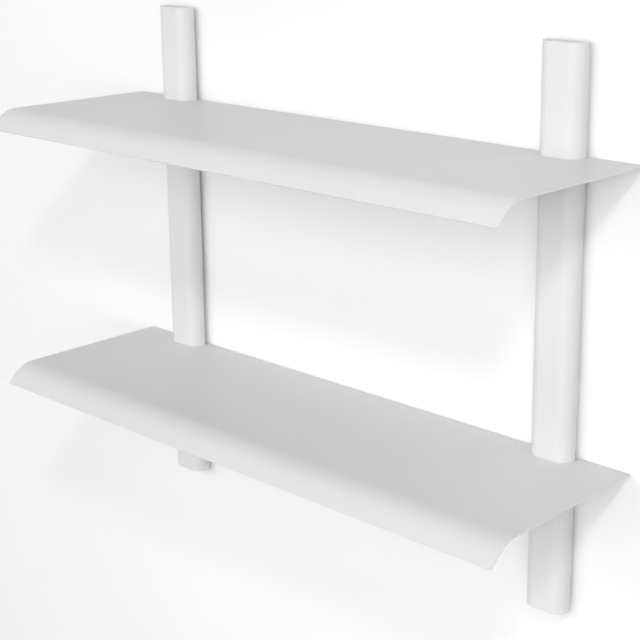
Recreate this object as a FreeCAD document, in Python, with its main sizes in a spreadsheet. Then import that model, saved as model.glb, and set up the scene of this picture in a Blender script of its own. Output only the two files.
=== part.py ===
import FreeCAD, Part
import os
import Sketcher

# White metal wall shelf: two bent sheet shelves clamped to two extruded uprights that hang on wall rails.
# Millimetres. X runs right along the wall and Z up. The wall is the plane Y = 0, with the room towards -Y.
# The origin lies on the wall, in the middle of the four holes for the wall screws.

# Driving dimensions
SIZES = {
    # Shelves: one sheet each, with a soft bend and a sloping lip in front and a stiffening return behind
    "shelf_length": 800,
    "shelf_depth": 244,
    "shelf_sheet": 2,
    "shelf_corner": 3,
    "shelf_wall_clearance": 1,
    "lip_drop": 23.5,
    "lip_angle": 45,
    "lip_bend": 40,
    "return_drop": 15,
    "return_bend": 3,
    "return_relief": 2,
    "return_clearance": 6,
    "notch_clearance": 0.3,
    # Places of the shelves and uprights
    "overhang": 93.5,
    "lower_shelf_height": 183.5,
    "upper_shelf_drop": 120,
    # Uprights: open-backed extrusions with two rear lips
    "upright_height": 640,
    "upright_width": 53.5,
    "upright_depth": 21,
    "upright_wall": 2.5,
    "upright_lip": 13,
    "front_corner": 16,
    "rear_corner": 2,
    "wall_clearance": 3.7,
    "running_clearance": 0.3,
    # Wall rails
    "rail_end_inset": 40,
    "rail_wall": 2.5,
    "rail_floor": 3,
    "rail_toe": 1.5,
    "rail_side_clearance": 0.5,
    "wing_clearance": 1.5,
    "wall_screw_inset": 40,
    "wall_screw_hole": 5.5,
    # Hanger blocks and their screws
    "hanger_depth": 7,
    "hanger_gap": 6,
    "hanger_screw": 4,
    "hanger_screw_length": 9,
    "hanger_hole_clearance": 0.5,
    "thread_clearance": 0.2,
    "hanger_head": 7.6,
    "hanger_head_height": 2.2,
    "hanger_key": 2.5,
    "hanger_key_depth": 1.2,
    # End caps
    "cap_depth": 12,
    "cap_plate": 3,
    "cap_wall": 1.8,
    "cap_clearance": 0.2,
    # Brackets: bent channels under the shelves, hooked behind the uprights' lips
    "bracket_sheet": 3,
    "bracket_height": 20,
    "bracket_nose": 10,
    "bracket_taper": 40,
    "bracket_bend": 4,
    "bracket_setback": 10,
    "bracket_side_clearance": 0.6,
    "web_clearance": 3,
    "arm_relief": 1,
    "hook_clearance": 2.6,
    # Clamps: a bar through the bracket, a screw in the bar and a pad against the upright
    "clamp_bar": 9,
    "clamp_bar_proud": 1,
    "clamp_bar_clearance": 0.1,
    "clamp_drop": 12.5,
    "clamp_offset": 13,
    "clamp_screw": 5,
    "clamp_screw_length": 18,
    "clamp_key": 2.5,
    "clamp_key_depth": 3.5,
    "clamp_pad": 9,
    "clamp_pad_thickness": 3,
    "clamp_pad_recess": 1.2,
    # Weld studs and nuts
    "stud": 5,
    "stud_end": 3,
    "stud_hole": 5.5,
    "stud_offset": 85,
    "nut_key": 8,
    "nut_height": 4,
}

# Derived places, as expressions over the sheet
LIP_TURN = "(size.lip_angle * 1 deg)"
LIP_OUTER_DROP = f"(size.lip_drop - size.shelf_sheet * cos({LIP_TURN}))"
LIP_CORNER = f"(size.shelf_depth - {LIP_OUTER_DROP} / tan({LIP_TURN}))"
LIP_INNER_CORNER = f"({LIP_CORNER} - size.shelf_sheet * tan({LIP_TURN} / 2))"
LIP_INNER_END = f"(size.shelf_depth - size.shelf_sheet * sin({LIP_TURN}))"
LIP_BEND_START = f"({LIP_CORNER} - size.lip_bend * tan({LIP_TURN} / 2))"

UPPER_SHELF_TOP = "(size.upright_height / 2 - size.upper_shelf_drop)"
LOWER_SHELF_TOP = "(size.lower_shelf_height - size.upright_height / 2)"
UPRIGHT_X = "(size.shelf_length / 2 - size.overhang)"

WALL_GAP = "(size.wall_clearance + size.bracket_sheet + size.running_clearance)"
UPRIGHT_HALF = "(size.upright_width / 2)"
UPRIGHT_FRONT = f"({WALL_GAP} + size.upright_depth)"
SLOT_HALF = f"({UPRIGHT_HALF} - size.upright_lip)"
CAVITY_HALF = f"({UPRIGHT_HALF} - size.upright_wall)"
CAVITY_REAR = f"({WALL_GAP} + size.upright_wall)"
CAVITY_FRONT = f"({UPRIGHT_FRONT} - size.upright_wall)"

RAIL_HALF_LENGTH = "(size.upright_height / 2 - size.rail_end_inset)"
RAIL_PLATE = f"({WALL_GAP} - size.running_clearance)"
RAIL_PLATE_HALF = f"({SLOT_HALF} + size.rail_toe)"
RAIL_LEG_HALF = f"({SLOT_HALF} - size.rail_side_clearance)"
WING_HALF = f"({CAVITY_HALF} - size.wing_clearance)"
WING_REAR = f"({CAVITY_REAR} + size.running_clearance)"
WING_FRONT = f"({WING_REAR} + size.rail_wall)"

HANGER_HEIGHT = "(size.rail_end_inset - size.cap_depth - size.hanger_gap)"
HANGER_SCREW_X = f"(({SLOT_HALF} + {CAVITY_HALF}) / 2)"
HANGER_SCREW_Z = f"({RAIL_HALF_LENGTH} + {HANGER_HEIGHT} / 2)"

BRACKET_INNER_HALF = f"({UPRIGHT_HALF} + size.bracket_side_clearance)"
BRACKET_OUTER_HALF = f"({BRACKET_INNER_HALF} + size.bracket_sheet)"
BRACKET_FRONT = f"({LIP_BEND_START} - size.bracket_setback)"
BRACKET_BOTTOM = "(size.shelf_sheet + size.bracket_height)"
WEB_REAR = f"({UPRIGHT_FRONT} + size.web_clearance)"
WEB_BOTTOM = "(size.shelf_sheet + size.bracket_sheet)"
ARM_TOP = "(size.shelf_sheet + size.bracket_bend + size.arm_relief)"
HOOK_FRONT = "(size.wall_clearance + size.bracket_sheet)"
HOOK_END = f"({RAIL_PLATE_HALF} + size.hook_clearance)"

CLAMP_Y = f"({UPRIGHT_FRONT} + size.clamp_offset)"
CLAMP_Z = "(size.shelf_sheet + size.clamp_drop)"
PAD_REAR = f"({UPRIGHT_FRONT} + size.running_clearance)"
PAD_FRONT = f"({PAD_REAR} + size.clamp_pad_thickness)"
SCREW_REAR = f"({PAD_FRONT} - size.clamp_pad_recess + size.thread_clearance)"

STUD_Y = f"({WEB_REAR} + size.stud_offset)"

SIDES = {"left": "-1", "right": "1"}
LEVELS = {"upper": UPPER_SHELF_TOP, "lower": LOWER_SHELF_TOP}

# How far a cutting sketch reaches past the face that it opens, and how near counts as the same place
CUT_MARGIN = "5"
NEAR = 0.01

# A sketch's own origin, as a geometry and a point, and a geometry's points in the order of their numbers
SKETCH_ORIGIN = (-1, 1)
SKETCH_POINTS = ("edge", "start", "end", "centre")

doc = FreeCAD.newDocument("wall_shelf")
sheet = doc.addObject("Spreadsheet::Sheet", "size")
for row, (alias, number) in enumerate(SIZES.items(), start=1):
    sheet.set(f"A{row}", alias)
    sheet.set(f"B{row}", str(number))
    sheet.setAlias(f"B{row}", alias)
doc.recompute()


def value(expression):
    """The number that an expression over the sheet gives."""
    return float(sheet.evalExpression(expression))


def minus(expression):
    """The expression with its sign turned."""
    return f"-({expression})"


def mirrored(half):
    """A closed outline that is even about x = 0, from the corners of its right half."""
    return half + [(minus(x), y) for x, y in reversed(half)]


def rectangle(left, right, bottom, top):
    """The four corners of an upright rectangle."""
    return [(left, bottom), (right, bottom), (right, top), (left, top)]


def hexagon(key):
    """The corners of a hexagon about the origin, with the size of its key across the flats."""
    corner = f"({key} / 2 / cos(30 deg))"
    return mirrored([(f"{corner} / 2", f"-{key} / 2"), (corner, "0"), (f"{corner} / 2", f"{key} / 2")])


def new_body(label, x="0", z="0"):
    """An empty body whose own origin stands on the wall at x and z."""
    body = doc.addObject("PartDesign::Body", label)
    body.Label = label
    body.setExpression("Placement.Base.x", x)
    body.setExpression("Placement.Base.z", z)
    return body


def new_sketch(body, name, plane, offset="0"):
    """A sketch on one of the body's origin planes, moved along that plane's normal."""
    sketch = body.newObject("Sketcher::SketchObject", f"{body.Name}_{name}")
    planes = [feature for feature in body.Origin.OriginFeatures if feature.Role == plane]
    sketch.AttachmentSupport = [(planes[0], "")]
    sketch.MapMode = "FlatFace"
    sketch.setExpression("AttachmentOffset.Base.z", offset)
    return sketch


def hold(sketch, geometry, point, x, y):
    """Holds a named point of one geometry at x and y from the sketch's origin."""
    held = SKETCH_POINTS.index(point)
    for kind, expression in (("DistanceX", x), ("DistanceY", y)):
        constraint = Sketcher.Constraint(kind, *SKETCH_ORIGIN, geometry, held, value(expression))
        place = sketch.addConstraint(constraint)
        sketch.setExpression(f"Constraints[{place}]", expression)


def add_outline(sketch, corners):
    """Draws a closed outline through its corners and holds each of them to the sheet."""
    first = sketch.GeometryCount
    points = [FreeCAD.Vector(value(x), value(y), 0) for x, y in corners]
    following = points[1:] + points[:1]
    for point, next_point in zip(points, following):
        sketch.addGeometry(Part.LineSegment(point, next_point), False)
    start = SKETCH_POINTS.index("start")
    end = SKETCH_POINTS.index("end")
    for index, (x, y) in enumerate(corners):
        before = first + (index - 1) % len(corners)
        sketch.addConstraint(Sketcher.Constraint("Coincident", before, end, first + index, start))
        hold(sketch, first + index, "start", x, y)


def add_circle(sketch, x, y, diameter):
    """Draws a circle and holds its centre and diameter to the sheet."""
    centre = FreeCAD.Vector(value(x), value(y), 0)
    circle = Part.Circle(centre, FreeCAD.Vector(0, 0, 1), value(diameter) / 2)
    geometry = sketch.addGeometry(circle, False)
    hold(sketch, geometry, "centre", x, y)
    place = sketch.addConstraint(Sketcher.Constraint("Diameter", geometry, value(diameter)))
    sketch.setExpression(f"Constraints[{place}]", diameter)


def pad(body, sketch, length, symmetric=False):
    """Pads a sketch along its normal, or to both sides of it."""
    feature = body.newObject("PartDesign::Pad", f"{sketch.Name}_pad")
    feature.Profile = sketch
    feature.SideType = "Symmetric" if symmetric else "One side"
    feature.setExpression("Length", length)
    doc.recompute()
    return feature


def pocket(body, sketch, depth=None):
    """Cuts a sketch along its normal to a depth, or right through to both sides."""
    solid = body.Tip.Shape.Volume
    feature = body.newObject("PartDesign::Pocket", f"{sketch.Name}_pocket")
    feature.Profile = sketch
    if depth is None:
        feature.Type = "ThroughAll"
        feature.SideType = "Symmetric"
    else:
        feature.Reversed = True
        feature.setExpression("Length", depth)
    doc.recompute()
    if feature.Shape.Volume > solid - NEAR:
        raise RuntimeError(f"{feature.Label} cuts nothing")
    return feature


def revolve(body, sketch):
    """Turns a half profile about the sketch's upright axis."""
    feature = body.newObject("PartDesign::Revolution", f"{sketch.Name}_revolution")
    feature.Profile = sketch
    feature.ReferenceAxis = (sketch, ["V_Axis"])
    feature.Angle = 360
    doc.recompute()
    return feature


def edges_at(body, along, **places):
    """Names of a body's edges along one axis, or along any where it is None, with their middle at places.

    Places are distances from the body's origin planes, so a pair of mirrored edges is found together.
    """
    found = []
    for index, edge in enumerate(body.Tip.Shape.Edges, start=1):
        box = edge.BoundBox
        spread = {"x": box.XLength, "y": box.YLength, "z": box.ZLength}
        middle = {"x": abs(box.Center.x), "y": abs(box.Center.y), "z": abs(box.Center.z)}
        runs = along is None or all(spread[axis] < NEAR for axis in spread if axis != along)
        stands = all(abs(middle[axis] - value(place)) < NEAR for axis, place in places.items())
        if runs and stands:
            found.append(f"Edge{index}")
    return found


def fillet(body, edges, radius):
    """Rounds the named edges of a body's tip."""
    base = body.Tip
    feature = body.newObject("PartDesign::Fillet", f"{body.Name}_fillet")
    feature.Base = (base, edges)
    feature.setExpression("Radius", radius)
    doc.recompute()
    return feature


def group(label, bodies):
    """One node that holds several equal loose pieces."""
    node = doc.addObject("Part::Compound", label)
    node.Label = label
    node.Links = bodies
    return node


def wall_rail(label, side):
    """Extruded hat rail: a channel on the wall and two wings that the upright's lips slide behind."""
    body = new_body(label, x=f"{side} * {UPRIGHT_X}")
    section = new_sketch(body, "section", "XY_Plane")
    channel_half = f"({RAIL_LEG_HALF} - size.rail_wall)"
    add_outline(section, mirrored([
        (channel_half, minus("size.rail_floor")),
        (channel_half, minus(WING_FRONT)),
        (WING_HALF, minus(WING_FRONT)),
        (WING_HALF, minus(WING_REAR)),
        (RAIL_LEG_HALF, minus(WING_REAR)),
        (RAIL_LEG_HALF, minus(RAIL_PLATE)),
        (RAIL_PLATE_HALF, minus(RAIL_PLATE)),
        (RAIL_PLATE_HALF, "0"),
    ]))
    pad(body, section, f"2 * {RAIL_HALF_LENGTH}", symmetric=True)
    holes = new_sketch(body, "wall_screw_holes", "XZ_Plane")
    screw_height = f"({RAIL_HALF_LENGTH} - size.wall_screw_inset)"
    for height in (screw_height, minus(screw_height)):
        add_circle(holes, "0", height, "size.wall_screw_hole")
    pocket(body, holes)
    return body


def upright(label, side):
    """Extruded post with a flat front, large front corners and two lips along its open back."""
    body = new_body(label, x=f"{side} * {UPRIGHT_X}")
    section = new_sketch(body, "section", "XY_Plane")
    add_outline(section, mirrored([
        (CAVITY_HALF, minus(CAVITY_FRONT)),
        (CAVITY_HALF, minus(CAVITY_REAR)),
        (SLOT_HALF, minus(CAVITY_REAR)),
        (SLOT_HALF, minus(WALL_GAP)),
        (UPRIGHT_HALF, minus(WALL_GAP)),
        (UPRIGHT_HALF, minus(UPRIGHT_FRONT)),
    ]))
    pad(body, section, "size.upright_height", symmetric=True)
    fillet(body, edges_at(body, "z", x=UPRIGHT_HALF, y=UPRIGHT_FRONT), "size.front_corner")
    fillet(body, edges_at(body, "z", x=CAVITY_HALF, y=CAVITY_FRONT), "size.front_corner - size.upright_wall")
    fillet(body, edges_at(body, "z", x=UPRIGHT_HALF, y=WALL_GAP), "size.rear_corner")
    holes = new_sketch(body, "hanger_screw_holes", "XZ_Plane")
    for place in (HANGER_SCREW_X, minus(HANGER_SCREW_X)):
        add_circle(holes, place, HANGER_SCREW_Z, "size.hanger_screw + size.hanger_hole_clearance")
    pocket(body, holes, depth=CAVITY_REAR)
    return body


def hanger_block(label, side):
    """Block inside the top of the upright that rests on the rail's upper end."""
    body = new_body(label, x=f"{side} * {UPRIGHT_X}", z=RAIL_HALF_LENGTH)
    outline = new_sketch(body, "outline", "XY_Plane")
    front = f"{CAVITY_REAR} + size.hanger_depth"
    add_outline(outline, rectangle(minus(WING_HALF), WING_HALF, minus(front), minus(CAVITY_REAR)))
    pad(body, outline, HANGER_HEIGHT)
    holes = new_sketch(body, "screw_holes", "XZ_Plane")
    for place in (HANGER_SCREW_X, minus(HANGER_SCREW_X)):
        add_circle(holes, place, f"{HANGER_HEIGHT} / 2", "size.hanger_screw + size.thread_clearance")
    pocket(body, holes)
    return body


def hanger_screw(label, x):
    """Low-head socket screw that holds a hanger block to the upright's lip from behind."""
    body = new_body(label, x=x, z=HANGER_SCREW_Z)
    profile = new_sketch(body, "profile", "XY_Plane")
    head_rear = f"({WALL_GAP} - size.hanger_head_height)"
    shank_end = f"({WALL_GAP} + size.hanger_screw_length)"
    add_outline(profile, [
        ("0", minus(head_rear)),
        ("size.hanger_head / 2", minus(head_rear)),
        ("size.hanger_head / 2", minus(WALL_GAP)),
        ("size.hanger_screw / 2", minus(WALL_GAP)),
        ("size.hanger_screw / 2", minus(shank_end)),
        ("0", minus(shank_end)),
    ])
    revolve(body, profile)
    socket = new_sketch(body, "socket", "XZ_Plane", offset=head_rear)
    add_outline(socket, hexagon("size.hanger_key"))
    pocket(body, socket, depth="size.hanger_key_depth")
    return body


def end_cap(label, side, end):
    """Moulded cap set flush into an open end of the upright: a plate with a skirt and a rear tongue."""
    body = new_body(label, x=f"{side} * {UPRIGHT_X}", z=f"{end} * size.upright_height / 2")
    if end == "-1":
        turned = FreeCAD.Rotation(FreeCAD.Vector(0, 1, 0), 180)
        body.Placement = FreeCAD.Placement(body.Placement.Base, turned)
    half = f"({CAVITY_HALF} - size.cap_clearance)"
    tongue_half = f"({SLOT_HALF} - size.cap_clearance)"
    rear = f"({CAVITY_REAR} + size.cap_clearance)"
    front = f"({CAVITY_FRONT} - size.cap_clearance)"
    corner = "size.front_corner - size.upright_wall - size.cap_clearance"
    outline = new_sketch(body, "outline", "XY_Plane", offset=minus("size.cap_depth"))
    add_outline(outline, mirrored([
        (tongue_half, minus(WALL_GAP)),
        (tongue_half, minus(rear)),
        (half, minus(rear)),
        (half, minus(front)),
    ]))
    pad(body, outline, "size.cap_depth")
    hollow = new_sketch(body, "hollow", "XY_Plane", offset=minus("size.cap_depth"))
    inner_half = f"({half} - size.cap_wall)"
    inner_rear = f"({rear} + size.cap_wall)"
    inner_front = f"({front} - size.cap_wall)"
    add_outline(hollow, rectangle(minus(inner_half), inner_half, minus(inner_front), minus(inner_rear)))
    pocket(body, hollow, depth="size.cap_depth - size.cap_plate")
    fillet(body, edges_at(body, "z", x=inner_half, y=inner_front), f"{corner} - size.cap_wall")
    fillet(body, edges_at(body, "z", x=half, y=front), corner)
    return body


def shelf(label, top):
    """One bent sheet, notched for the uprights, with a sloping front lip and a return behind."""
    body = new_body(label, z=top)
    profile = new_sketch(body, "profile", "YZ_Plane")
    rear = "size.shelf_wall_clearance"
    add_outline(profile, [
        (minus(rear), "0"),
        (minus(LIP_CORNER), "0"),
        (minus("size.shelf_depth"), minus(LIP_OUTER_DROP)),
        (minus(LIP_INNER_END), minus("size.lip_drop")),
        (minus(LIP_INNER_CORNER), minus("size.shelf_sheet")),
        (minus(rear), minus("size.shelf_sheet")),
    ])
    pad(body, profile, "size.shelf_length", symmetric=True)
    fillet(body, edges_at(body, "x", y=LIP_CORNER, z="0"), "size.lip_bend")
    inner_bend = edges_at(body, "x", y=LIP_INNER_CORNER, z="size.shelf_sheet")
    fillet(body, inner_bend, "size.lip_bend - size.shelf_sheet")
    add_return(body, rear)
    cut_notches(body, rear)
    half_length = "size.shelf_length / 2"
    rear_corners = edges_at(body, "z", x=half_length, y=rear)
    lip_corners = edges_at(
        body, None, x=half_length,
        y=f"(size.shelf_depth + {LIP_INNER_END}) / 2", z=f"(size.lip_drop + {LIP_OUTER_DROP}) / 2",
    )
    fillet(body, rear_corners + lip_corners, "size.shelf_corner")
    return body


def add_return(body, rear):
    """Bends the shelf's rear edge down between the brackets, with a relief cut at each end of the bend."""
    half_length = f"({UPRIGHT_X} - {BRACKET_OUTER_HALF} - size.return_clearance)"
    flange = new_sketch(body, "return", "YZ_Plane")
    flange_front = f"({rear} + size.shelf_sheet)"
    add_outline(flange, rectangle(minus(flange_front), minus(rear), minus("size.return_drop"), "0"))
    pad(body, flange, f"2 * {half_length}", symmetric=True)
    reliefs = new_sketch(body, "reliefs", "XY_Plane")
    relief_front = f"({rear} + size.return_bend + size.return_relief)"
    relief_end = f"({half_length} + size.return_relief)"
    add_outline(reliefs, rectangle(half_length, relief_end, minus(relief_front), CUT_MARGIN))
    add_outline(reliefs, rectangle(minus(relief_end), minus(half_length), minus(relief_front), CUT_MARGIN))
    pocket(body, reliefs)
    fillet(body, edges_at(body, "x", x="0", y=rear, z="0"), "size.return_bend")
    inner_bend = edges_at(body, "x", x="0", y=flange_front, z="size.shelf_sheet")
    fillet(body, inner_bend, "size.return_bend - size.shelf_sheet")


def cut_notches(body, rear):
    """Notches the shelf's rear edge round the uprights, with the same corners and an even clearance."""
    notch_front = f"({UPRIGHT_FRONT} + size.notch_clearance)"
    near_side = f"({UPRIGHT_X} - {UPRIGHT_HALF} - size.notch_clearance)"
    far_side = f"({UPRIGHT_X} + {UPRIGHT_HALF} + size.notch_clearance)"
    notches = new_sketch(body, "notches", "XY_Plane")
    add_outline(notches, rectangle(near_side, far_side, minus(notch_front), CUT_MARGIN))
    add_outline(notches, rectangle(minus(far_side), minus(near_side), minus(notch_front), CUT_MARGIN))
    pocket(body, notches)
    corners = []
    for place in (near_side, far_side):
        corners += edges_at(body, "z", x=place, y=notch_front)
    fillet(body, corners, "size.front_corner + size.notch_clearance")


def bracket(label, side, top):
    """Bent channel under the shelf whose two arms pass the upright and hook behind its lips."""
    body = new_body(label, x=f"{side} * {UPRIGHT_X}", z=top)
    channel = new_sketch(body, "channel", "XZ_Plane", offset=WEB_REAR)
    add_outline(channel, mirrored([
        (BRACKET_INNER_HALF, minus(WEB_BOTTOM)),
        (BRACKET_INNER_HALF, minus(BRACKET_BOTTOM)),
        (BRACKET_OUTER_HALF, minus(BRACKET_BOTTOM)),
        (BRACKET_OUTER_HALF, minus("size.shelf_sheet")),
    ]))
    pad(body, channel, f"{BRACKET_FRONT} - {WEB_REAR}")
    arms = new_sketch(body, "arms", "XY_Plane", offset=minus(BRACKET_BOTTOM))
    right_arm = [
        (HOOK_END, minus("size.wall_clearance")),
        (BRACKET_OUTER_HALF, minus("size.wall_clearance")),
        (BRACKET_OUTER_HALF, minus(WEB_REAR)),
        (BRACKET_INNER_HALF, minus(WEB_REAR)),
        (BRACKET_INNER_HALF, minus(HOOK_FRONT)),
        (HOOK_END, minus(HOOK_FRONT)),
    ]
    add_outline(arms, right_arm)
    add_outline(arms, [(minus(x), y) for x, y in right_arm])
    pad(body, arms, f"{BRACKET_BOTTOM} - {ARM_TOP}")
    bend_bracket(body)
    taper_bracket(body)
    slot = new_sketch(body, "clamp_slot", "YZ_Plane")
    slot_half = "(size.clamp_bar / 2 + size.clamp_bar_clearance)"
    add_outline(slot, rectangle(
        f"-{CLAMP_Y} - {slot_half}", f"{slot_half} - {CLAMP_Y}",
        f"-{CLAMP_Z} - {slot_half}", f"{slot_half} - {CLAMP_Z}",
    ))
    pocket(body, slot)
    hole = new_sketch(body, "stud_hole", "XY_Plane")
    add_circle(hole, "0", minus(STUD_Y), "size.stud_hole")
    pocket(body, hole)
    return body


def bend_bracket(body):
    """Rounds the bracket's four bends, each with its outer and its inner radius."""
    inner_bend = "size.bracket_bend - size.bracket_sheet"
    fillet(body, edges_at(body, "y", x=BRACKET_OUTER_HALF, z="size.shelf_sheet"), "size.bracket_bend")
    fillet(body, edges_at(body, "y", x=BRACKET_INNER_HALF, z=WEB_BOTTOM), inner_bend)
    fillet(body, edges_at(body, "z", x=BRACKET_OUTER_HALF, y="size.wall_clearance"), "size.bracket_bend")
    fillet(body, edges_at(body, "z", x=BRACKET_INNER_HALF, y=HOOK_FRONT), inner_bend)


def taper_bracket(body):
    """Cuts the flanges' lower edge on a slope, from full height near the upright to a low rounded nose."""
    taper = new_sketch(body, "taper", "YZ_Plane")
    taper_start = f"({WEB_REAR} + size.bracket_taper)"
    nose_bottom = "(size.shelf_sheet + size.bracket_nose)"
    past_front = f"({BRACKET_FRONT} + {CUT_MARGIN})"
    past_bottom = f"({BRACKET_BOTTOM} + {CUT_MARGIN})"
    add_outline(taper, [
        (minus(taper_start), minus(BRACKET_BOTTOM)),
        (minus(BRACKET_FRONT), minus(nose_bottom)),
        (minus(past_front), minus(nose_bottom)),
        (minus(past_front), minus(past_bottom)),
        (minus(taper_start), minus(past_bottom)),
    ])
    pocket(body, taper)
    fillet(body, edges_at(body, "x", y=BRACKET_FRONT, z=nose_bottom), "size.bracket_bend")


def clamp_bar(label, side, top):
    """Square bar through both flanges of a bracket, threaded across for the clamp screw."""
    body = new_body(label, x=f"{side} * {UPRIGHT_X}", z=top)
    section = new_sketch(body, "section", "YZ_Plane")
    add_outline(section, rectangle(
        f"-{CLAMP_Y} - size.clamp_bar / 2", f"size.clamp_bar / 2 - {CLAMP_Y}",
        f"-{CLAMP_Z} - size.clamp_bar / 2", f"size.clamp_bar / 2 - {CLAMP_Z}",
    ))
    pad(body, section, f"2 * ({BRACKET_OUTER_HALF} + size.clamp_bar_proud)", symmetric=True)
    hole = new_sketch(body, "hole", "XZ_Plane")
    add_circle(hole, "0", minus(CLAMP_Z), "size.clamp_screw + size.thread_clearance")
    pocket(body, hole)
    return body


def clamp_screw(label, side, top):
    """Set screw that presses the pad on the upright and so pulls the hooks against its lips."""
    body = new_body(label, x=f"{side} * {UPRIGHT_X}", z=f"{top} - {CLAMP_Z}")
    section = new_sketch(body, "section", "XZ_Plane", offset=SCREW_REAR)
    add_circle(section, "0", "0", "size.clamp_screw")
    pad(body, section, "size.clamp_screw_length")
    socket_floor = f"{SCREW_REAR} + size.clamp_screw_length - size.clamp_key_depth"
    socket = new_sketch(body, "socket", "XZ_Plane", offset=socket_floor)
    add_outline(socket, hexagon("size.clamp_key"))
    pocket(body, socket, depth=f"size.clamp_key_depth + {CUT_MARGIN}")
    return body


def clamp_pad(label, side, top):
    """Square pad with a round recess in front for the screw's end."""
    body = new_body(label, x=f"{side} * {UPRIGHT_X}", z=f"{top} - {CLAMP_Z}")
    outline = new_sketch(body, "outline", "XZ_Plane", offset=PAD_REAR)
    half = "(size.clamp_pad / 2)"
    add_outline(outline, rectangle(minus(half), half, minus(half), half))
    pad(body, outline, "size.clamp_pad_thickness")
    recess = new_sketch(body, "recess", "XZ_Plane", offset=f"{PAD_FRONT} - size.clamp_pad_recess")
    add_circle(recess, "0", "0", "size.clamp_screw + 2 * size.thread_clearance")
    pocket(body, recess, depth=f"size.clamp_pad_recess + {CUT_MARGIN}")
    return body


def shelf_stud(label, side, top):
    """Threaded stud welded under the shelf, through the bracket's web."""
    body = new_body(label, x=f"{side} * {UPRIGHT_X}", z=top)
    stud_bottom = f"({WEB_BOTTOM} + size.nut_height + size.stud_end)"
    section = new_sketch(body, "section", "XY_Plane", offset=minus(stud_bottom))
    add_circle(section, "0", minus(STUD_Y), "size.stud")
    pad(body, section, f"{stud_bottom} - size.shelf_sheet")
    return body


def shelf_nut(label, side, top):
    """Hexagon nut on the stud, against the bracket's web."""
    body = new_body(label, x=f"{side} * {UPRIGHT_X}", z=top)
    body.setExpression("Placement.Base.y", minus(STUD_Y))
    flats = new_sketch(body, "flats", "XY_Plane", offset=f"-{WEB_BOTTOM} - size.nut_height")
    add_outline(flats, hexagon("size.nut_key"))
    pad(body, flats, "size.nut_height")
    bore = new_sketch(body, "bore", "XY_Plane")
    add_circle(bore, "0", "0", "size.stud + size.thread_clearance")
    pocket(body, bore)
    return body


def fixed_frame():
    """The pieces that stay on the wall."""
    nodes = []
    screws = []
    for name, side in SIDES.items():
        nodes.append(wall_rail(f"{name}_wall_rail", side))
        nodes.append(upright(f"{name}_upright", side))
        nodes.append(hanger_block(f"{name}_hanger_block", side))
        nodes.append(end_cap(f"{name}_top_cap", side, "1"))
        nodes.append(end_cap(f"{name}_bottom_cap", side, "-1"))
        for lip, lip_side in SIDES.items():
            place = f"{side} * {UPRIGHT_X} + {lip_side} * {HANGER_SCREW_X}"
            screws.append(hanger_screw(f"{name}_hanger_screw_{lip}", place))
    nodes.append(group("hanger_screws", screws))
    return nodes


def shelf_set(level, top):
    """One shelf with its brackets, clamps, studs and nuts, which slide on the uprights together."""
    nodes = [shelf(f"{level}_shelf", top)]
    screws = []
    pads = []
    studs = []
    nuts = []
    for name, side in SIDES.items():
        nodes.append(bracket(f"{level}_{name}_bracket", side, top))
        nodes.append(clamp_bar(f"{level}_{name}_clamp_bar", side, top))
        screws.append(clamp_screw(f"{level}_{name}_clamp_screw", side, top))
        pads.append(clamp_pad(f"{level}_{name}_clamp_pad", side, top))
        studs.append(shelf_stud(f"{level}_{name}_stud", side, top))
        nuts.append(shelf_nut(f"{level}_{name}_nut", side, top))
    nodes.append(group(f"{level}_clamp_screws", screws))
    nodes.append(group(f"{level}_clamp_pads", pads))
    nodes.append(group(f"{level}_shelf_studs", studs))
    nodes.append(group(f"{level}_shelf_nuts", nuts))
    return nodes


def write_nodes(nodes):
    """Checks every object of the document, then writes one file for each node."""
    doc.recompute()
    for thing in doc.Objects:
        if "Invalid" in thing.State or "Error" in thing.State:
            raise RuntimeError(f"{thing.Label} failed: {thing.State}")
    for node in nodes:
        if node.Shape.isNull() or not node.Shape.isValid():
            raise RuntimeError(f"{node.Label} has no valid shape")
    os.makedirs("parts", exist_ok=True)
    for node in nodes:
        node.Shape.exportStep(f"parts/{node.Label}.step")
        print(f"{node.Label}: {len(node.Shape.Solids)} solids, {node.Shape.Volume:.0f} mm3")


nodes = fixed_frame()
for level, top in LEVELS.items():
    nodes += shelf_set(level, top)
write_nodes(nodes)
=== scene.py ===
# %% [markdown]
# # A white metal wall shelf
#
# The object is a shelf unit of powder-coated metal. Two bent sheet shelves are clamped to two extruded
# uprights, and the uprights hang on rails that are screwed to the wall. Its construction is already
# made in CAD and comes in as a frame of named nodes, which this lesson never moves or resizes. The
# lesson gives the nodes their finishes, softens their edges, puts threads on the screws, and sets up
# the wall, the light and the camera.

# %% Load the frame
import math

import bmesh
import bpy
from mathutils import Color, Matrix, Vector


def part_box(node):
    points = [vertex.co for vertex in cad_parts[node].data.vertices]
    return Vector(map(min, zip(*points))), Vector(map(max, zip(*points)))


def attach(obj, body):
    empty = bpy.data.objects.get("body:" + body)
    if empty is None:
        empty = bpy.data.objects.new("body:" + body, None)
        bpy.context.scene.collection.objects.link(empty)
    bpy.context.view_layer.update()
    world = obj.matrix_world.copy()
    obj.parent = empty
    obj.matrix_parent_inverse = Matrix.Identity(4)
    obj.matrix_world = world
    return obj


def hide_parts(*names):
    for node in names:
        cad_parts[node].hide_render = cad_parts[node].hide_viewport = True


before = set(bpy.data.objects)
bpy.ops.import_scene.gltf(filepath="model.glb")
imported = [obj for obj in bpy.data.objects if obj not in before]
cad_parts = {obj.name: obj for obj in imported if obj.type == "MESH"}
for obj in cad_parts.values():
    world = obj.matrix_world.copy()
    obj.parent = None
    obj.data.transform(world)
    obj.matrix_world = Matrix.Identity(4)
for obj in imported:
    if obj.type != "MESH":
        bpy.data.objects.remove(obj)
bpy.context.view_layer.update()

MM = 0.001

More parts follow.
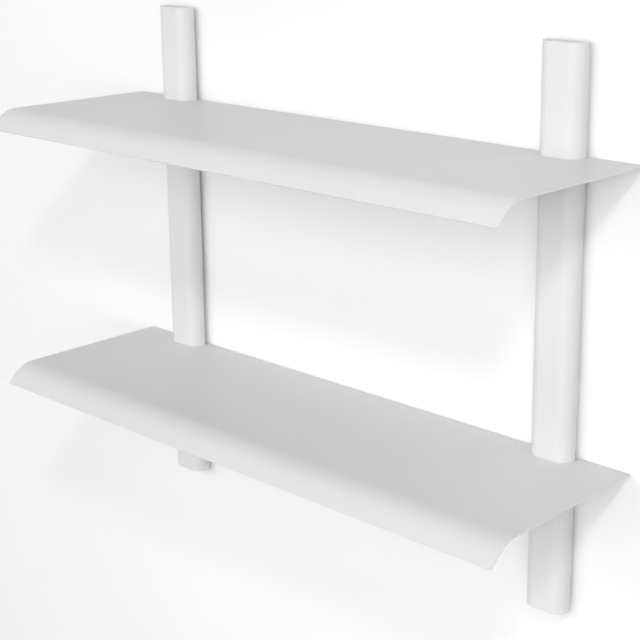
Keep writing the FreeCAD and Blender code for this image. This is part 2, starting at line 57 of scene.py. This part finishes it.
# %% [markdown]
# ## Two small tools for materials
#
# A paint chart or a colour picker gives a colour in sRGB, but Cycles adds up light in linear values, so
# each colour below is a hex value that one function turns to linear. A second function adds a node: its
# inputs take either a value or the output of another node, so a whole material reads from top to
# bottom.

# %% Colours and nodes
def linear(hex_colour):
    """The linear RGBA colour of an sRGB hex value such as #F0F0EE."""
    shares = [int(hex_colour[place:place + 2], 16) / 255 for place in (1, 3, 5)]
    return (*Color(shares).from_srgb_to_scene_linear(), 1.0)


def fill(tree, node, inputs):
    """Gives each named input of a node its value, or a link where the value is another node's output."""
    for name, given in inputs.items():
        if isinstance(given, bpy.types.NodeSocket):
            tree.links.new(given, node.inputs[name])
        else:
            node.inputs[name].default_value = given


def add_node(tree, kind, inputs=None, **settings):
    """Adds one node to a tree, with its settings, its values and its links."""
    node = tree.nodes.new(kind)
    for name, setting in settings.items():
        setattr(node, name, setting)
    fill(tree, node, inputs or {})
    return node


def new_material(name):
    """A new material with its node tree and its shader."""
    material = bpy.data.materials.new(name)
    material.use_nodes = True
    tree = material.node_tree
    tree.nodes.clear()
    shader = add_node(tree, "ShaderNodeBsdfPrincipled")
    add_node(tree, "ShaderNodeOutputMaterial", {"Surface": shader.outputs["BSDF"]})
    return material, tree, shader


print("white card:", [round(share, 3) for share in linear("#FFFFFF")])

# %% [markdown]
# ## Powder-coated metal
#
# The shelves and brackets are folded from steel sheet and the uprights are cut from an aluminium
# extrusion. All of them are sprayed with dry polyester powder and baked, so they look alike: a satin
# white skin that hides the metal. Up close the melted powder is never quite level. It dries with a
# faint ripple called orange peel, and its film is a little thicker in some places, which shifts the
# white by a shade. A plain white shader would miss both, and an image texture would need an unwrapped
# mesh. Noise in the part's own coordinates needs neither. Its Detail is how many finer layers are added
# to the noise: few keep it smooth.

# %% Powder coat
# Real orange peel has waves of about 2 mm. They are drawn at 5 mm, as coarse as they need to be to show.
PEEL_WAVE = 5 * MM
PEEL_HEIGHT = 0.006 * MM
PEEL_DETAIL = 1.0
FILM_DRIFT = 140 * MM
FILM_DETAIL = 2.0
SATIN_ROUGHNESS = (0.40, 0.50)
COAT_INDEX = 1.5


def powder_coat(name, thick, thin, roughness):
    """Baked polyester powder: a satin skin with orange peel, from its thick and its thin film's white."""
    material, tree, shader = new_material(name)
    place = add_node(tree, "ShaderNodeTexCoord").outputs["Object"]
    drift = add_node(tree, "ShaderNodeTexNoise", {
        "Vector": place, "Scale": 1 / FILM_DRIFT, "Detail": FILM_DETAIL,
    })
    peel = add_node(tree, "ShaderNodeTexNoise", {
        "Vector": place, "Scale": 1 / PEEL_WAVE, "Detail": PEEL_DETAIL,
    })
    film = add_node(tree, "ShaderNodeMixRGB", {
        "Fac": drift.outputs["Fac"], "Color1": linear(thin), "Color2": linear(thick),
    })
    smoother, rougher = roughness
    gloss = add_node(tree, "ShaderNodeMapRange", {
        "Value": peel.outputs["Fac"], "To Min": smoother, "To Max": rougher,
    })
    ripple = add_node(tree, "ShaderNodeBump", {"Height": peel.outputs["Fac"], "Distance": PEEL_HEIGHT})
    fill(tree, shader, {
        "Base Color": film.outputs["Color"],
        "Roughness": gloss.outputs["Result"],
        "Normal": ripple.outputs["Normal"],
        "IOR": COAT_INDEX,
    })
    return material


coated_steel = powder_coat(
    "powder_coated_steel", thick="#E7E7E7", thin="#E3E3E3", roughness=SATIN_ROUGHNESS,
)
coated_aluminium = powder_coat(
    "powder_coated_aluminium", thick="#E8E8E8", thin="#E4E4E4", roughness=SATIN_ROUGHNESS,
)
print("made", coated_steel.name, "and", coated_aluminium.name)

# %% [markdown]
# ## Moulded ABS
#
# The caps in the ends of the uprights are moulded ABS. The mould is spark-eroded, which leaves a fine
# matt grain on every face, so the plastic looks a shade softer and duller than the coat beside it. A
# cell pattern gives that grain as a bump and as small changes of roughness.

# %% Cap plastic
# Spark erosion leaves pits of about 0.2 mm. They are drawn at 0.8 mm, so that they show in a close view.
GRAIN_PIT = 0.8 * MM
GRAIN_DEPTH = 0.03 * MM
ABS_INDEX = 1.54


def moulded_abs(name, colour, deep_colour, roughness):
    """Matt injection-moulded ABS with the grain of its spark-eroded mould."""
    material, tree, shader = new_material(name)
    place = add_node(tree, "ShaderNodeTexCoord").outputs["Object"]
    pits = add_node(tree, "ShaderNodeTexVoronoi", {"Vector": place, "Scale": 1 / GRAIN_PIT})
    tone = add_node(tree, "ShaderNodeMixRGB", {
        "Fac": pits.outputs["Distance"], "Color1": linear(deep_colour), "Color2": linear(colour),
    })
    smoother, rougher = roughness
    matt = add_node(tree, "ShaderNodeMapRange", {
        "Value": pits.outputs["Distance"], "To Min": rougher, "To Max": smoother,
    })
    relief = add_node(tree, "ShaderNodeBump", {"Height": pits.outputs["Distance"], "Distance": GRAIN_DEPTH})
    fill(tree, shader, {
        "Base Color": tone.outputs["Color"],
        "Roughness": matt.outputs["Result"],
        "Normal": relief.outputs["Normal"],
        "IOR": ABS_INDEX,
    })
    return material


cap_abs = moulded_abs("moulded_abs", colour="#E6E6E5", deep_colour="#DEDEDD", roughness=(0.50, 0.62))
print("made", cap_abs.name)

# %% [markdown]
# ## Mill-finish and sawn aluminium
#
# The wall rails are extruded aluminium as it leaves the die, with no coat, because nobody sees them.
# Tiny nicks in the die draw long straight lines down the profile, so the metal is bright along its
# length and soft across it. The hanger blocks are cut from bar with a circular saw, whose teeth leave
# even marks. Both are the same metal with a different pattern, so one function takes the pattern as a
# stretch of the coordinates: long lines for the rail, short rows for the block.

# %% Bare aluminium
# Die lines are about 0.1 mm apart and saw marks about 0.4 mm. Both are drawn some three times as coarse.
DIE_LINE = Vector((0.35, 0.35, 160.0)) * MM
DIE_LINE_DEPTH = 0.02 * MM
SAW_MARK = Vector((30.0, 30.0, 1.2)) * MM
SAW_MARK_DEPTH = 0.05 * MM
MARK_DETAIL = 3.0


def bare_aluminium(name, colour, shade, mark, depth, roughness):
    """Uncoated aluminium with marks of one size, in metres along X, Y and Z, left by the tool."""
    material, tree, shader = new_material(name)
    place = add_node(tree, "ShaderNodeTexCoord").outputs["Object"]
    stretched = add_node(tree, "ShaderNodeMapping", {
        "Vector": place, "Scale": [1 / length for length in mark],
    })
    lines = add_node(tree, "ShaderNodeTexNoise", {
        "Vector": stretched.outputs["Vector"], "Scale": 1.0, "Detail": MARK_DETAIL,
    })
    tone = add_node(tree, "ShaderNodeMixRGB", {
        "Fac": lines.outputs["Fac"], "Color1": linear(shade), "Color2": linear(colour),
    })
    smoother, rougher = roughness
    polish = add_node(tree, "ShaderNodeMapRange", {
        "Value": lines.outputs["Fac"], "To Min": rougher, "To Max": smoother,
    })
    scratch = add_node(tree, "ShaderNodeBump", {"Height": lines.outputs["Fac"], "Distance": depth})
    fill(tree, shader, {
        "Base Color": tone.outputs["Color"],
        "Roughness": polish.outputs["Result"],
        "Normal": scratch.outputs["Normal"],
        "Metallic": 1.0,
    })
    return material


rail_aluminium = bare_aluminium(
    "mill_finish_aluminium", colour="#C6C8CA", shade="#A6A9AC",
    mark=DIE_LINE, depth=DIE_LINE_DEPTH, roughness=(0.30, 0.45),
)
block_aluminium = bare_aluminium(
    "sawn_aluminium", colour="#C2C4C6", shade="#9C9FA2",
    mark=SAW_MARK, depth=SAW_MARK_DEPTH, roughness=(0.32, 0.50),
)
print("made", rail_aluminium.name, "and", block_aluminium.name)

# %% [markdown]
# ## Zinc-plated steel
#
# Screws, nuts and clamp bars are steel with a thin bright coat of zinc. The bath that seals the zinc
# leaves a cold grey with cloudy patches, and the edges, where parts rub together in the plating drum,
# are paler. The Bevel node finds those edges: near one, its rounded normal turns away from the true
# one, and the turn drives the wear.

# %% Plated fasteners
ZINC_CLOUD = 4 * MM
ZINC_CLOUD_DETAIL = 4.0
ZINC_GRAIN = 0.5 * MM
ZINC_GRAIN_DETAIL = 2.0
ZINC_RELIEF = 0.01 * MM
WORN_EDGE = 0.5 * MM
WORN_EDGE_SAMPLES = 4
# The likeness of the two normals is 1 on a flat face. An edge is fully worn where it has fallen to this.
WORN_LIKENESS = 0.8


def zinc_plated_steel(name, colour, cloud_colour, worn_colour, roughness):
    """Bright zinc on steel: cloudy, faintly grained and worn pale along its edges."""
    material, tree, shader = new_material(name)
    place = add_node(tree, "ShaderNodeTexCoord").outputs["Object"]
    cloud = add_node(tree, "ShaderNodeTexNoise", {
        "Vector": place, "Scale": 1 / ZINC_CLOUD, "Detail": ZINC_CLOUD_DETAIL,
    })
    grain = add_node(tree, "ShaderNodeTexNoise", {
        "Vector": place, "Scale": 1 / ZINC_GRAIN, "Detail": ZINC_GRAIN_DETAIL,
    })
    zinc = add_node(tree, "ShaderNodeMixRGB", {
        "Fac": cloud.outputs["Fac"], "Color1": linear(cloud_colour), "Color2": linear(colour),
    })
    rounded = add_node(tree, "ShaderNodeBevel", {"Radius": WORN_EDGE}, samples=WORN_EDGE_SAMPLES)
    true_face = add_node(tree, "ShaderNodeNewGeometry")
    likeness = add_node(tree, "ShaderNodeVectorMath", {
        0: rounded.outputs["Normal"], 1: true_face.outputs["Normal"],
    }, operation="DOT_PRODUCT")
    wear = add_node(tree, "ShaderNodeMapRange", {
        "Value": likeness.outputs["Value"], "From Min": 1.0, "From Max": WORN_LIKENESS,
    })
    colour_with_wear = add_node(tree, "ShaderNodeMixRGB", {
        "Fac": wear.outputs["Result"], "Color1": zinc.outputs["Color"], "Color2": linear(worn_colour),
    })
    smoother, rougher = roughness
    sheen = add_node(tree, "ShaderNodeMapRange", {
        "Value": cloud.outputs["Fac"], "To Min": rougher, "To Max": smoother,
    })
    relief = add_node(tree, "ShaderNodeBump", {"Height": grain.outputs["Fac"], "Distance": ZINC_RELIEF})
    fill(tree, shader, {
        "Base Color": colour_with_wear.outputs["Color"],
        "Roughness": sheen.outputs["Result"],
        "Normal": relief.outputs["Normal"],
        "Metallic": 1.0,
    })
    return material


plated_steel = zinc_plated_steel(
    "zinc_plated_steel", colour="#BFC3C7", cloud_colour="#A3A9AF", worn_colour="#DADDDF",
    roughness=(0.22, 0.38),
)
print("made", plated_steel.name)

# %% [markdown]
# ## Natural acetal
#
# The pads between the clamp screws and the uprights are acetal, a slippery plastic that can't scratch
# the coat. Left in its natural colour it is milky: light goes a little way in and comes out softened.
# Subsurface scattering gives that, and a slow drift of tone keeps the small faces from looking painted.

# %% Pad plastic
MILKY_DEPTH = 1.5 * MM
MILKY_SHARE = 0.35
ACETAL_DRIFT = 6 * MM
ACETAL_DETAIL = 2.0
ACETAL_INDEX = 1.48


def natural_acetal(name, colour, warm_colour, roughness):
    """Uncoloured acetal: milky, slightly waxy and smooth."""
    material, tree, shader = new_material(name)
    place = add_node(tree, "ShaderNodeTexCoord").outputs["Object"]
    drift = add_node(tree, "ShaderNodeTexNoise", {
        "Vector": place, "Scale": 1 / ACETAL_DRIFT, "Detail": ACETAL_DETAIL,
    })
    tone = add_node(tree, "ShaderNodeMixRGB", {
        "Fac": drift.outputs["Fac"], "Color1": linear(warm_colour), "Color2": linear(colour),
    })
    smoother, rougher = roughness
    wax = add_node(tree, "ShaderNodeMapRange", {
        "Value": drift.outputs["Fac"], "To Min": smoother, "To Max": rougher,
    })
    fill(tree, shader, {
        "Base Color": tone.outputs["Color"],
        "Roughness": wax.outputs["Result"],
        "IOR": ACETAL_INDEX,
        "Subsurface Weight": MILKY_SHARE,
        "Subsurface Scale": MILKY_DEPTH,
    })
    return material


pad_acetal = natural_acetal(
    "natural_acetal", colour="#EFEEE8", warm_colour="#E6E3D8", roughness=(0.32, 0.44),
)
print("made", pad_acetal.name)

# %% [markdown]
# ## Finishes on the nodes
#
# Each CAD node came in with a plain material named for its slot in the record. That name says which
# finish the piece has, so one table dresses all of them.

# %% Dress the nodes
FINISHES = {
    "shelf_coat": coated_steel,
    "bracket_coat": coated_steel,
    "upright_coat": coated_aluminium,
    "cap_plastic": cap_abs,
    "rail_aluminium": rail_aluminium,
    "block_aluminium": block_aluminium,
    "plated_steel": plated_steel,
    "pad_plastic": pad_acetal,
}

slots = {}
for name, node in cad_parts.items():
    slots[name] = node.material_slots[0].material.name
    node.material_slots[0].material = FINISHES[slots[name]]
print("dressed", len(slots), "nodes in", len(set(slots.values())), "slots")

# %% [markdown]
# ## Softened edges
#
# CAD edges are perfectly sharp, and nothing real is. Powder flows round a cut edge, a moulded edge has
# a small radius and a sawn one is broken with a file, so each edge catches a thin line of light. The
# vertices of the frame stay as they are, so the rounding is a stack of modifiers: Weld joins the faces
# that CAD wrote apart, Decimate merges the triangles of each flat face, and Bevel rounds what is still
# sharp. A small node group then shades all faces smoothly, and weighted normals keep the large ones
# flat. A bevel only takes material away, so the part keeps its size.

# %% Round every edge
EDGE_RADIUS = {
    "shelf_coat": 0.3 * MM,
    "bracket_coat": 0.3 * MM,
    "upright_coat": 0.3 * MM,
    "cap_plastic": 0.5 * MM,
    "rail_aluminium": 0.3 * MM,
    "block_aluminium": 0.4 * MM,
    "plated_steel": 0.3 * MM,
    "pad_plastic": 0.4 * MM,
}
EDGE_STEPS = 2
SAME_POINT = 0.001 * MM
FLAT_ANGLE = math.radians(0.3)
SHARP_ANGLE = math.radians(35)


def shading_group():
    """Geometry nodes that drop the imported normals and shade every face smoothly."""
    group = bpy.data.node_groups.new("smooth_shading", "GeometryNodeTree")
    for direction in ("INPUT", "OUTPUT"):
        group.interface.new_socket("Geometry", in_out=direction, socket_type="NodeSocketGeometry")
    start = add_node(group, "NodeGroupInput")
    plain = add_node(group, "GeometryNodeRemoveAttribute", {
        "Geometry": start.outputs["Geometry"], "Name": "custom_normal",
    })
    smooth = add_node(group, "GeometryNodeSetShadeSmooth", {"Geometry": plain.outputs["Geometry"]})
    add_node(group, "NodeGroupOutput", {"Geometry": smooth.outputs["Geometry"]})
    return group


def round_edges(piece, radius, shading):
    """Rounds the sharp edges of one node with modifiers and leaves its mesh alone."""
    weld = piece.modifiers.new("join_faces", "WELD")
    weld.merge_threshold = SAME_POINT
    merge = piece.modifiers.new("merge_flat_faces", "DECIMATE")
    merge.decimate_type = "DISSOLVE"
    merge.angle_limit = FLAT_ANGLE
    bevel = piece.modifiers.new("round_edges", "BEVEL")
    bevel.width = radius
    bevel.segments = EDGE_STEPS
    bevel.limit_method = "ANGLE"
    bevel.angle_limit = SHARP_ANGLE
    # With clamping, the shortest edge of a piece would thin the rounding of all its edges.
    bevel.use_clamp_overlap = False
    smooth = piece.modifiers.new("smooth_shading", "NODES")
    smooth.node_group = shading
    piece.modifiers.new("keep_faces_flat", "WEIGHTED_NORMAL")


shading = shading_group()
for name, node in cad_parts.items():
    round_edges(node, EDGE_RADIUS[slots[name]], shading)
print("rounded the edges of", len(slots), "nodes")

# %% [markdown]
# ## Rings for the fasteners
#
# In CAD the studs are smooth rods, the set screws are smooth rods with a socket, and the nuts are bored
# prisms. The real ones have threads and turned corners. These can be built as a stack of rings round an
# axis, where each point of a ring has its own distance from the axis and its own height: a thread only
# changes the distance as it climbs, and a hexagon changes it with the angle. A screw modifier would
# leave open ends, so the rings are joined by hand. Each shelf has two of each fastener, one at each end
# of the CAD node's box.

# %% Skins made of rings
RING_POINTS = 24
HEXAGON_STEP = 60
SMOOTH_LIMIT = math.radians(40)
ACROSS = Vector((1, 0, 0))
FORWARD = Vector((0, -1, 0))
UP = Vector((0, 0, 1))


def round_ring(radius, height):
    """A circle of points at one height."""
    return [(radius, height)] * RING_POINTS


def hexagon_ring(key, height):
    """Points on a hexagon of a key's width across its flats."""
    ring = []
    for index in range(RING_POINTS):
        from_flat = (360 * index / RING_POINTS) % HEXAGON_STEP - HEXAGON_STEP / 2
        ring.append((key / 2 / math.cos(math.radians(from_flat)), height))
    return ring


def add_skin(mesh, rings, origin, up, ring_shaped):
    """Joins rings of points round the axis through origin, closed at both ends or into a ring."""
    side = up.cross(ACROSS)
    rows = []
    for ring in rings:
        row = []
        for index, (radius, height) in enumerate(ring):
            angle = math.tau * index / RING_POINTS
            out = ACROSS * math.cos(angle) + side * math.sin(angle)
            row.append(mesh.verts.new(origin + up * height + out * radius))
        rows.append(row)
    joined = list(zip(rows, rows[1:]))
    if ring_shaped:
        joined.append((rows[-1], rows[0]))
    else:
        mesh.faces.new(rows[0])
        mesh.faces.new(rows[-1])
    for lower, upper in joined:
        for index in range(RING_POINTS):
            following = (index + 1) % RING_POINTS
            mesh.faces.new((lower[index], lower[following], upper[following], upper[index]))


def fastener_pair(name, node, rings, origins, up, ring_shaped=False):
    """Two skins as one piece, which stands for a CAD node and moves with it."""
    mesh = bmesh.new()
    for origin in origins:
        add_skin(mesh, rings, origin, up, ring_shaped)
    bmesh.ops.recalc_face_normals(mesh, faces=mesh.faces)
    for face in mesh.faces:
        face.smooth = True
    for edge in mesh.edges:
        edge.smooth = edge.calc_face_angle(0.0) < SMOOTH_LIMIT
    data = bpy.data.meshes.new(name)
    mesh.to_mesh(data)
    mesh.free()
    data.materials.append(plated_steel)
    piece = bpy.data.objects.new(name, data)
    bpy.context.scene.collection.objects.link(piece)
    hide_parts(node)
    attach(piece, f"{node.split('_')[0]}_shelf_set")
    print(f"{name}: {len(data.polygons)} faces in place of {node}")


print("each ring has", RING_POINTS, "points")

# %% [markdown]
# ## Threads
#
# The weld studs and the set screws are M5, whose thread climbs 0.8 mm each turn. In a cut along the
# rod, its flanks rise and fall evenly, with a flat at the crest and a wider one at the root. The rings
# stand a sixth of a turn's climb apart, and each point asks how far round the thread it is. Both ends
# taper, as a cut thread does.

# %% Threaded rods
LEVELS = ("upper", "lower")
PITCH = 0.8 * MM
RINGS_IN_A_PITCH = 6
THREAD_DEPTH = 0.61 * PITCH
CREST = 0.125
ROOT = 0.25
LEAD_IN = 0.6 * MM
TAPER = 0.7


def thread_rings(diameter, length):
    """Rings of a right-hand thread from height 0 to its length, with a taper at both ends."""
    count = round(length / PITCH * RINGS_IN_A_PITCH)
    rings = []
    for step in range(count + 1):
        height = length * step / count
        from_end = min(height, length - height)
        tapered = diameter / 2 - max(0.0, LEAD_IN - from_end) * TAPER
        ring = []
        for index in range(RING_POINTS):
            turn = (height / PITCH - index / RING_POINTS) % 1
            from_crest = abs(2 * turn - 1)
            flank = (from_crest - CREST) / (1 - CREST - ROOT)
            cut = THREAD_DEPTH * min(max(flank, 0.0), 1.0)
            ring.append((min(diameter / 2 - cut, tapered), height))
        rings.append(ring)
    return rings


for level in LEVELS:
    node = f"{level}_shelf_studs"
    low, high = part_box(node)
    stud = high.y - low.y
    rings = thread_rings(stud, high.z - low.z)
    middle = (low.y + high.y) / 2
    bottoms = [Vector((x, middle, low.z)) for x in (low.x + stud / 2, high.x - stud / 2)]
    fastener_pair(f"{level}_threaded_studs", node, rings, bottoms, UP)

# %% [markdown]
# ## Set screws
#
# A set screw is a short thread with no head. Its front end has a socket for a hexagon key, so after the
# thread the rings go on inwards: over the end face to the hexagon, down the six walls and to the
# drilled point at the bottom.

# %% Socket set screws
KEY = 2.5 * MM
SOCKET_DEPTH = 3.5 * MM
DRILL_POINT = 0.5 * MM
DRILL_TIP = 0.05 * MM

for level in LEVELS:
    node = f"{level}_clamp_screws"
    low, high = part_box(node)
    screw = high.z - low.z
    length = high.y - low.y
    rings = thread_rings(screw, length) + [
        hexagon_ring(KEY, length),
        hexagon_ring(KEY, length - SOCKET_DEPTH),
        round_ring(DRILL_TIP, length - SOCKET_DEPTH - DRILL_POINT),
    ]
    middle = (low.z + high.z) / 2
    rears = [Vector((x, high.y, middle)) for x in (low.x + screw / 2, high.x - screw / 2)]
    fastener_pair(f"{level}_socket_screws", node, rings, rears, FORWARD)

# %% [markdown]
# ## Nuts
#
# A hexagon nut is turned at both faces, which cuts a cone of 30 degrees across its six corners and
# leaves a round washer face. The cone drops each point of the hexagon by its distance beyond that face,
# so the curved edges on the flats appear by themselves. The bore is opened with a small countersink at
# both ends.

# %% Chamfered nuts
WASHER_FACE = 0.94
CONE = math.tan(math.radians(30))
COUNTERSINK = 0.4 * MM


def chamfered_hexagon(key, face, inwards):
    """A hexagon ring whose corners fall away from a turned face, inwards along the nut."""
    washer = WASHER_FACE * key / 2
    return [(radius, face + inwards * (radius - washer) * CONE) for radius, _ in hexagon_ring(key, face)]


for level in LEVELS:
    node = f"{level}_shelf_nuts"
    low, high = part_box(node)
    key = high.y - low.y
    height = high.z - low.z
    corner = key / 2 / math.cos(math.radians(HEXAGON_STEP / 2))
    stud_low, stud_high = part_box(f"{level}_shelf_studs")
    bore = (stud_high.y - stud_low.y) / 2
    washer = WASHER_FACE * key / 2
    rings = [
        round_ring(bore, COUNTERSINK),
        round_ring(bore + COUNTERSINK, 0.0),
        round_ring(washer, 0.0),
        chamfered_hexagon(key, 0.0, 1),
        chamfered_hexagon(key, height, -1),
        round_ring(washer, height),
        round_ring(bore + COUNTERSINK, height),
        round_ring(bore, height - COUNTERSINK),
    ]
    middle = (low.y + high.y) / 2
    bottoms = [Vector((x, middle, low.z)) for x in (low.x + corner, high.x - corner)]
    fastener_pair(f"{level}_chamfered_nuts", node, rings, bottoms, UP, ring_shaped=True)

# %% [markdown]
# ## The wall and the floor
#
# The shelf hangs on a plain white wall, and its soft shadows on that wall say how it stands off it.
# Wall and floor are stage, not part of the object. Three things make the wall a good backdrop. Light
# Path steers the first and the last, by the kind of ray that asks, and the side that a ray comes from
# steers the second:
#
# - The eye sees it white, but the light that it throws back comes from a grey. A white wall would light
#   the shelves from behind as strongly as the lamps do from the front, and their tops would lose their
#   tone.
# - Its rear side is clear, so that the back of the part can be looked at.
# - The faces that lie against it would be black from there. So a ray that starts on a face which the
#   camera sees, and that is shorter than a centimetre, goes through.

# %% Stage
WALL_GAP = 0.2 * MM
NEAR_WALL = 10 * MM
# Diffuse Depth and Is Shadow Ray add up to 1 on a ray that starts on a face which the camera sees,
# and to 2 or more on the rays that start after another bounce.
FIRST_BOUNCE = 1.5
STAGE_HALF = 3.0
FLOOR_HEIGHT = -1.25
WALL_TOP = 2.0
FLOOR_DEPTH = 2.6


def seen_by_eye(tree, path):
    """1 for a ray straight from the camera, off a gloss or through a clear piece, and 0 for the rest."""
    seen = path.outputs["Is Camera Ray"]
    for ray in ("Is Glossy Ray", "Is Transmission Ray"):
        either = add_node(tree, "ShaderNodeMath", {0: seen, 1: path.outputs[ray]}, operation="MAXIMUM")
        seen = either.outputs[0]
    return seen


def stage_material(name, seen_colour, bounce_colour):
    """A dull paint, seen in one colour and throwing light back in another, that is clear from behind."""
    material, tree, shader = new_material(name)
    path = add_node(tree, "ShaderNodeLightPath")
    paint = add_node(tree, "ShaderNodeMixRGB", {
        "Fac": seen_by_eye(tree, path), "Color1": linear(bounce_colour), "Color2": linear(seen_colour),
    })
    fill(tree, shader, {"Base Color": paint.outputs["Color"], "Roughness": 1.0, "Specular IOR Level": 0.0})
    bounce = add_node(tree, "ShaderNodeMath", {
        0: path.outputs["Diffuse Depth"], 1: path.outputs["Is Shadow Ray"],
    }, operation="ADD")
    first = add_node(tree, "ShaderNodeMath", {
        0: bounce.outputs[0], 1: FIRST_BOUNCE,
    }, operation="LESS_THAN")
    near = add_node(tree, "ShaderNodeMath", {
        0: path.outputs["Ray Length"], 1: NEAR_WALL,
    }, operation="LESS_THAN")
    through = add_node(tree, "ShaderNodeMath", {
        0: first.outputs[0], 1: near.outputs[0],
    }, operation="MULTIPLY")
    side = add_node(tree, "ShaderNodeNewGeometry")
    clear = add_node(tree, "ShaderNodeMath", {
        0: side.outputs["Backfacing"], 1: through.outputs[0],
    }, operation="MAXIMUM")
    glass = add_node(tree, "ShaderNodeBsdfTransparent")
    mixed = add_node(tree, "ShaderNodeMixShader", {
        0: clear.outputs[0], 1: shader.outputs["BSDF"], 2: glass.outputs["BSDF"],
    })
    fill(tree, tree.get_output_node("ALL"), {"Surface": mixed.outputs["Shader"]})
    return material


def stage_plane(name, corners, material):
    """One large face of the stage, seen from the side that its corners run round anticlockwise."""
    data = bpy.data.meshes.new(name)
    data.from_pydata(corners, [], [range(len(corners))])
    data.materials.append(material)
    plane = bpy.data.objects.new(name, data)
    bpy.context.scene.collection.objects.link(plane)
    return plane


wall = stage_plane("wall", [
    (-STAGE_HALF, WALL_GAP, FLOOR_HEIGHT),
    (STAGE_HALF, WALL_GAP, FLOOR_HEIGHT),
    (STAGE_HALF, WALL_GAP, WALL_TOP),
    (-STAGE_HALF, WALL_GAP, WALL_TOP),
], stage_material("white_wall_paint", seen_colour="#FFFFFF", bounce_colour="#D8D8D8"))
floor = stage_plane("floor", [
    (-STAGE_HALF, WALL_GAP - FLOOR_DEPTH, FLOOR_HEIGHT),
    (STAGE_HALF, WALL_GAP - FLOOR_DEPTH, FLOOR_HEIGHT),
    (STAGE_HALF, WALL_GAP, FLOOR_HEIGHT),
    (-STAGE_HALF, WALL_GAP, FLOOR_HEIGHT),
], stage_material("pale_floor", seen_colour="#F1F0EE", bounce_colour="#F1F0EE"))
print("stage:", wall.name, "and", floor.name)

# %% [markdown]
# ## Light
#
# The light is a plain product studio. A small lamp high on the right draws the shadows that run down to
# the left. Wide softboxes in front and on both sides light the faces that look into the room, a last
# one lights the hidden side from behind the wall, and a white room around it all keeps the shadows
# pale. A lamp's strength is written as a level: how bright it alone would make a white card that faces
# it, where 1 is white. For a small area lamp that is its power over the square of pi times the
# distance, and a wide one gives a little less. A gloss shows the white room and not the lamps, which
# would burn out the satin tops when they are seen against the light.

# %% Lamps
AIM = Vector((0.0, -0.1, 0.0))
ROOM_LIGHT = 0.18


def lamp(name, azimuth, elevation, distance, width, height, level):
    """A rectangular softbox, by its direction from the shelf in degrees, right of straight ahead and up."""
    turn = math.radians(azimuth)
    rise = math.radians(elevation)
    ahead = -math.cos(turn) * math.cos(rise)
    direction = Vector((math.sin(turn) * math.cos(rise), ahead, math.sin(rise)))
    data = bpy.data.lights.new(name, "AREA")
    data.shape = "RECTANGLE"
    data.size = width
    data.size_y = height
    data.energy = level * (math.pi * distance) ** 2
    softbox = bpy.data.objects.new(name, data)
    softbox.location = AIM + direction * distance
    softbox.rotation_euler = direction.to_track_quat("Z", "Y").to_euler()
    softbox.visible_glossy = False
    bpy.context.scene.collection.objects.link(softbox)


lamp("key_right", azimuth=43, elevation=38, distance=3.2, width=0.3, height=0.3, level=0.19)
lamp("softbox_front", azimuth=0, elevation=15, distance=4.0, width=5.0, height=2.5, level=0.43)
lamp("softbox_left", azimuth=-50, elevation=20, distance=4.0, width=4.0, height=2.5, level=0.14)
lamp("softbox_right", azimuth=38, elevation=12, distance=4.0, width=3.0, height=2.5, level=0.31)
lamp("softbox_behind", azimuth=180, elevation=5, distance=3.0, width=6.0, height=5.0, level=0.6)

world = bpy.data.worlds.new("white_room")
bpy.context.scene.world = world
world.use_nodes = True
room = world.node_tree
room.nodes.clear()
seen = seen_by_eye(room, add_node(room, "ShaderNodeLightPath"))
shown = add_node(room, "ShaderNodeMapRange", {"Value": seen, "To Min": ROOM_LIGHT, "To Max": 1.0})
white = add_node(room, "ShaderNodeBackground", {
    "Color": linear("#FFFFFF"), "Strength": shown.outputs["Result"],
})
add_node(room, "ShaderNodeOutputWorld", {"Surface": white.outputs["Background"]})

# %% [markdown]
# ## Camera
#
# The picture was taken from the right and a little above, with a long lens, and then cropped off
# centre. The place and the turn of the camera were found by matching the edges of the shelves and
# uprights. The crop becomes lens shift, because turning the camera instead would lean the uprights.

# %% Camera
CAMERA_PLACE = Vector((1.17336, -1.25416, 0.48046))
CAMERA_DOWN = 15.17
CAMERA_LEFT = 42.03
SENSOR_MM = 36.0
LENS_MM = 81.8
CROP_SHIFT = (-0.1, -0.0741)

camera_data = bpy.data.cameras.new("camera")
camera_data.sensor_width = SENSOR_MM
camera_data.lens = LENS_MM
camera_data.shift_x, camera_data.shift_y = CROP_SHIFT
camera = bpy.data.objects.new("camera", camera_data)
camera.location = CAMERA_PLACE
camera.rotation_euler = (math.radians(90 - CAMERA_DOWN), 0.0, math.radians(CAMERA_LEFT))
bpy.context.scene.collection.objects.link(camera)
bpy.context.scene.camera = camera
bpy.context.scene.view_settings.view_transform = "Standard"
print("camera at", [round(place, 3) for place in camera.location])
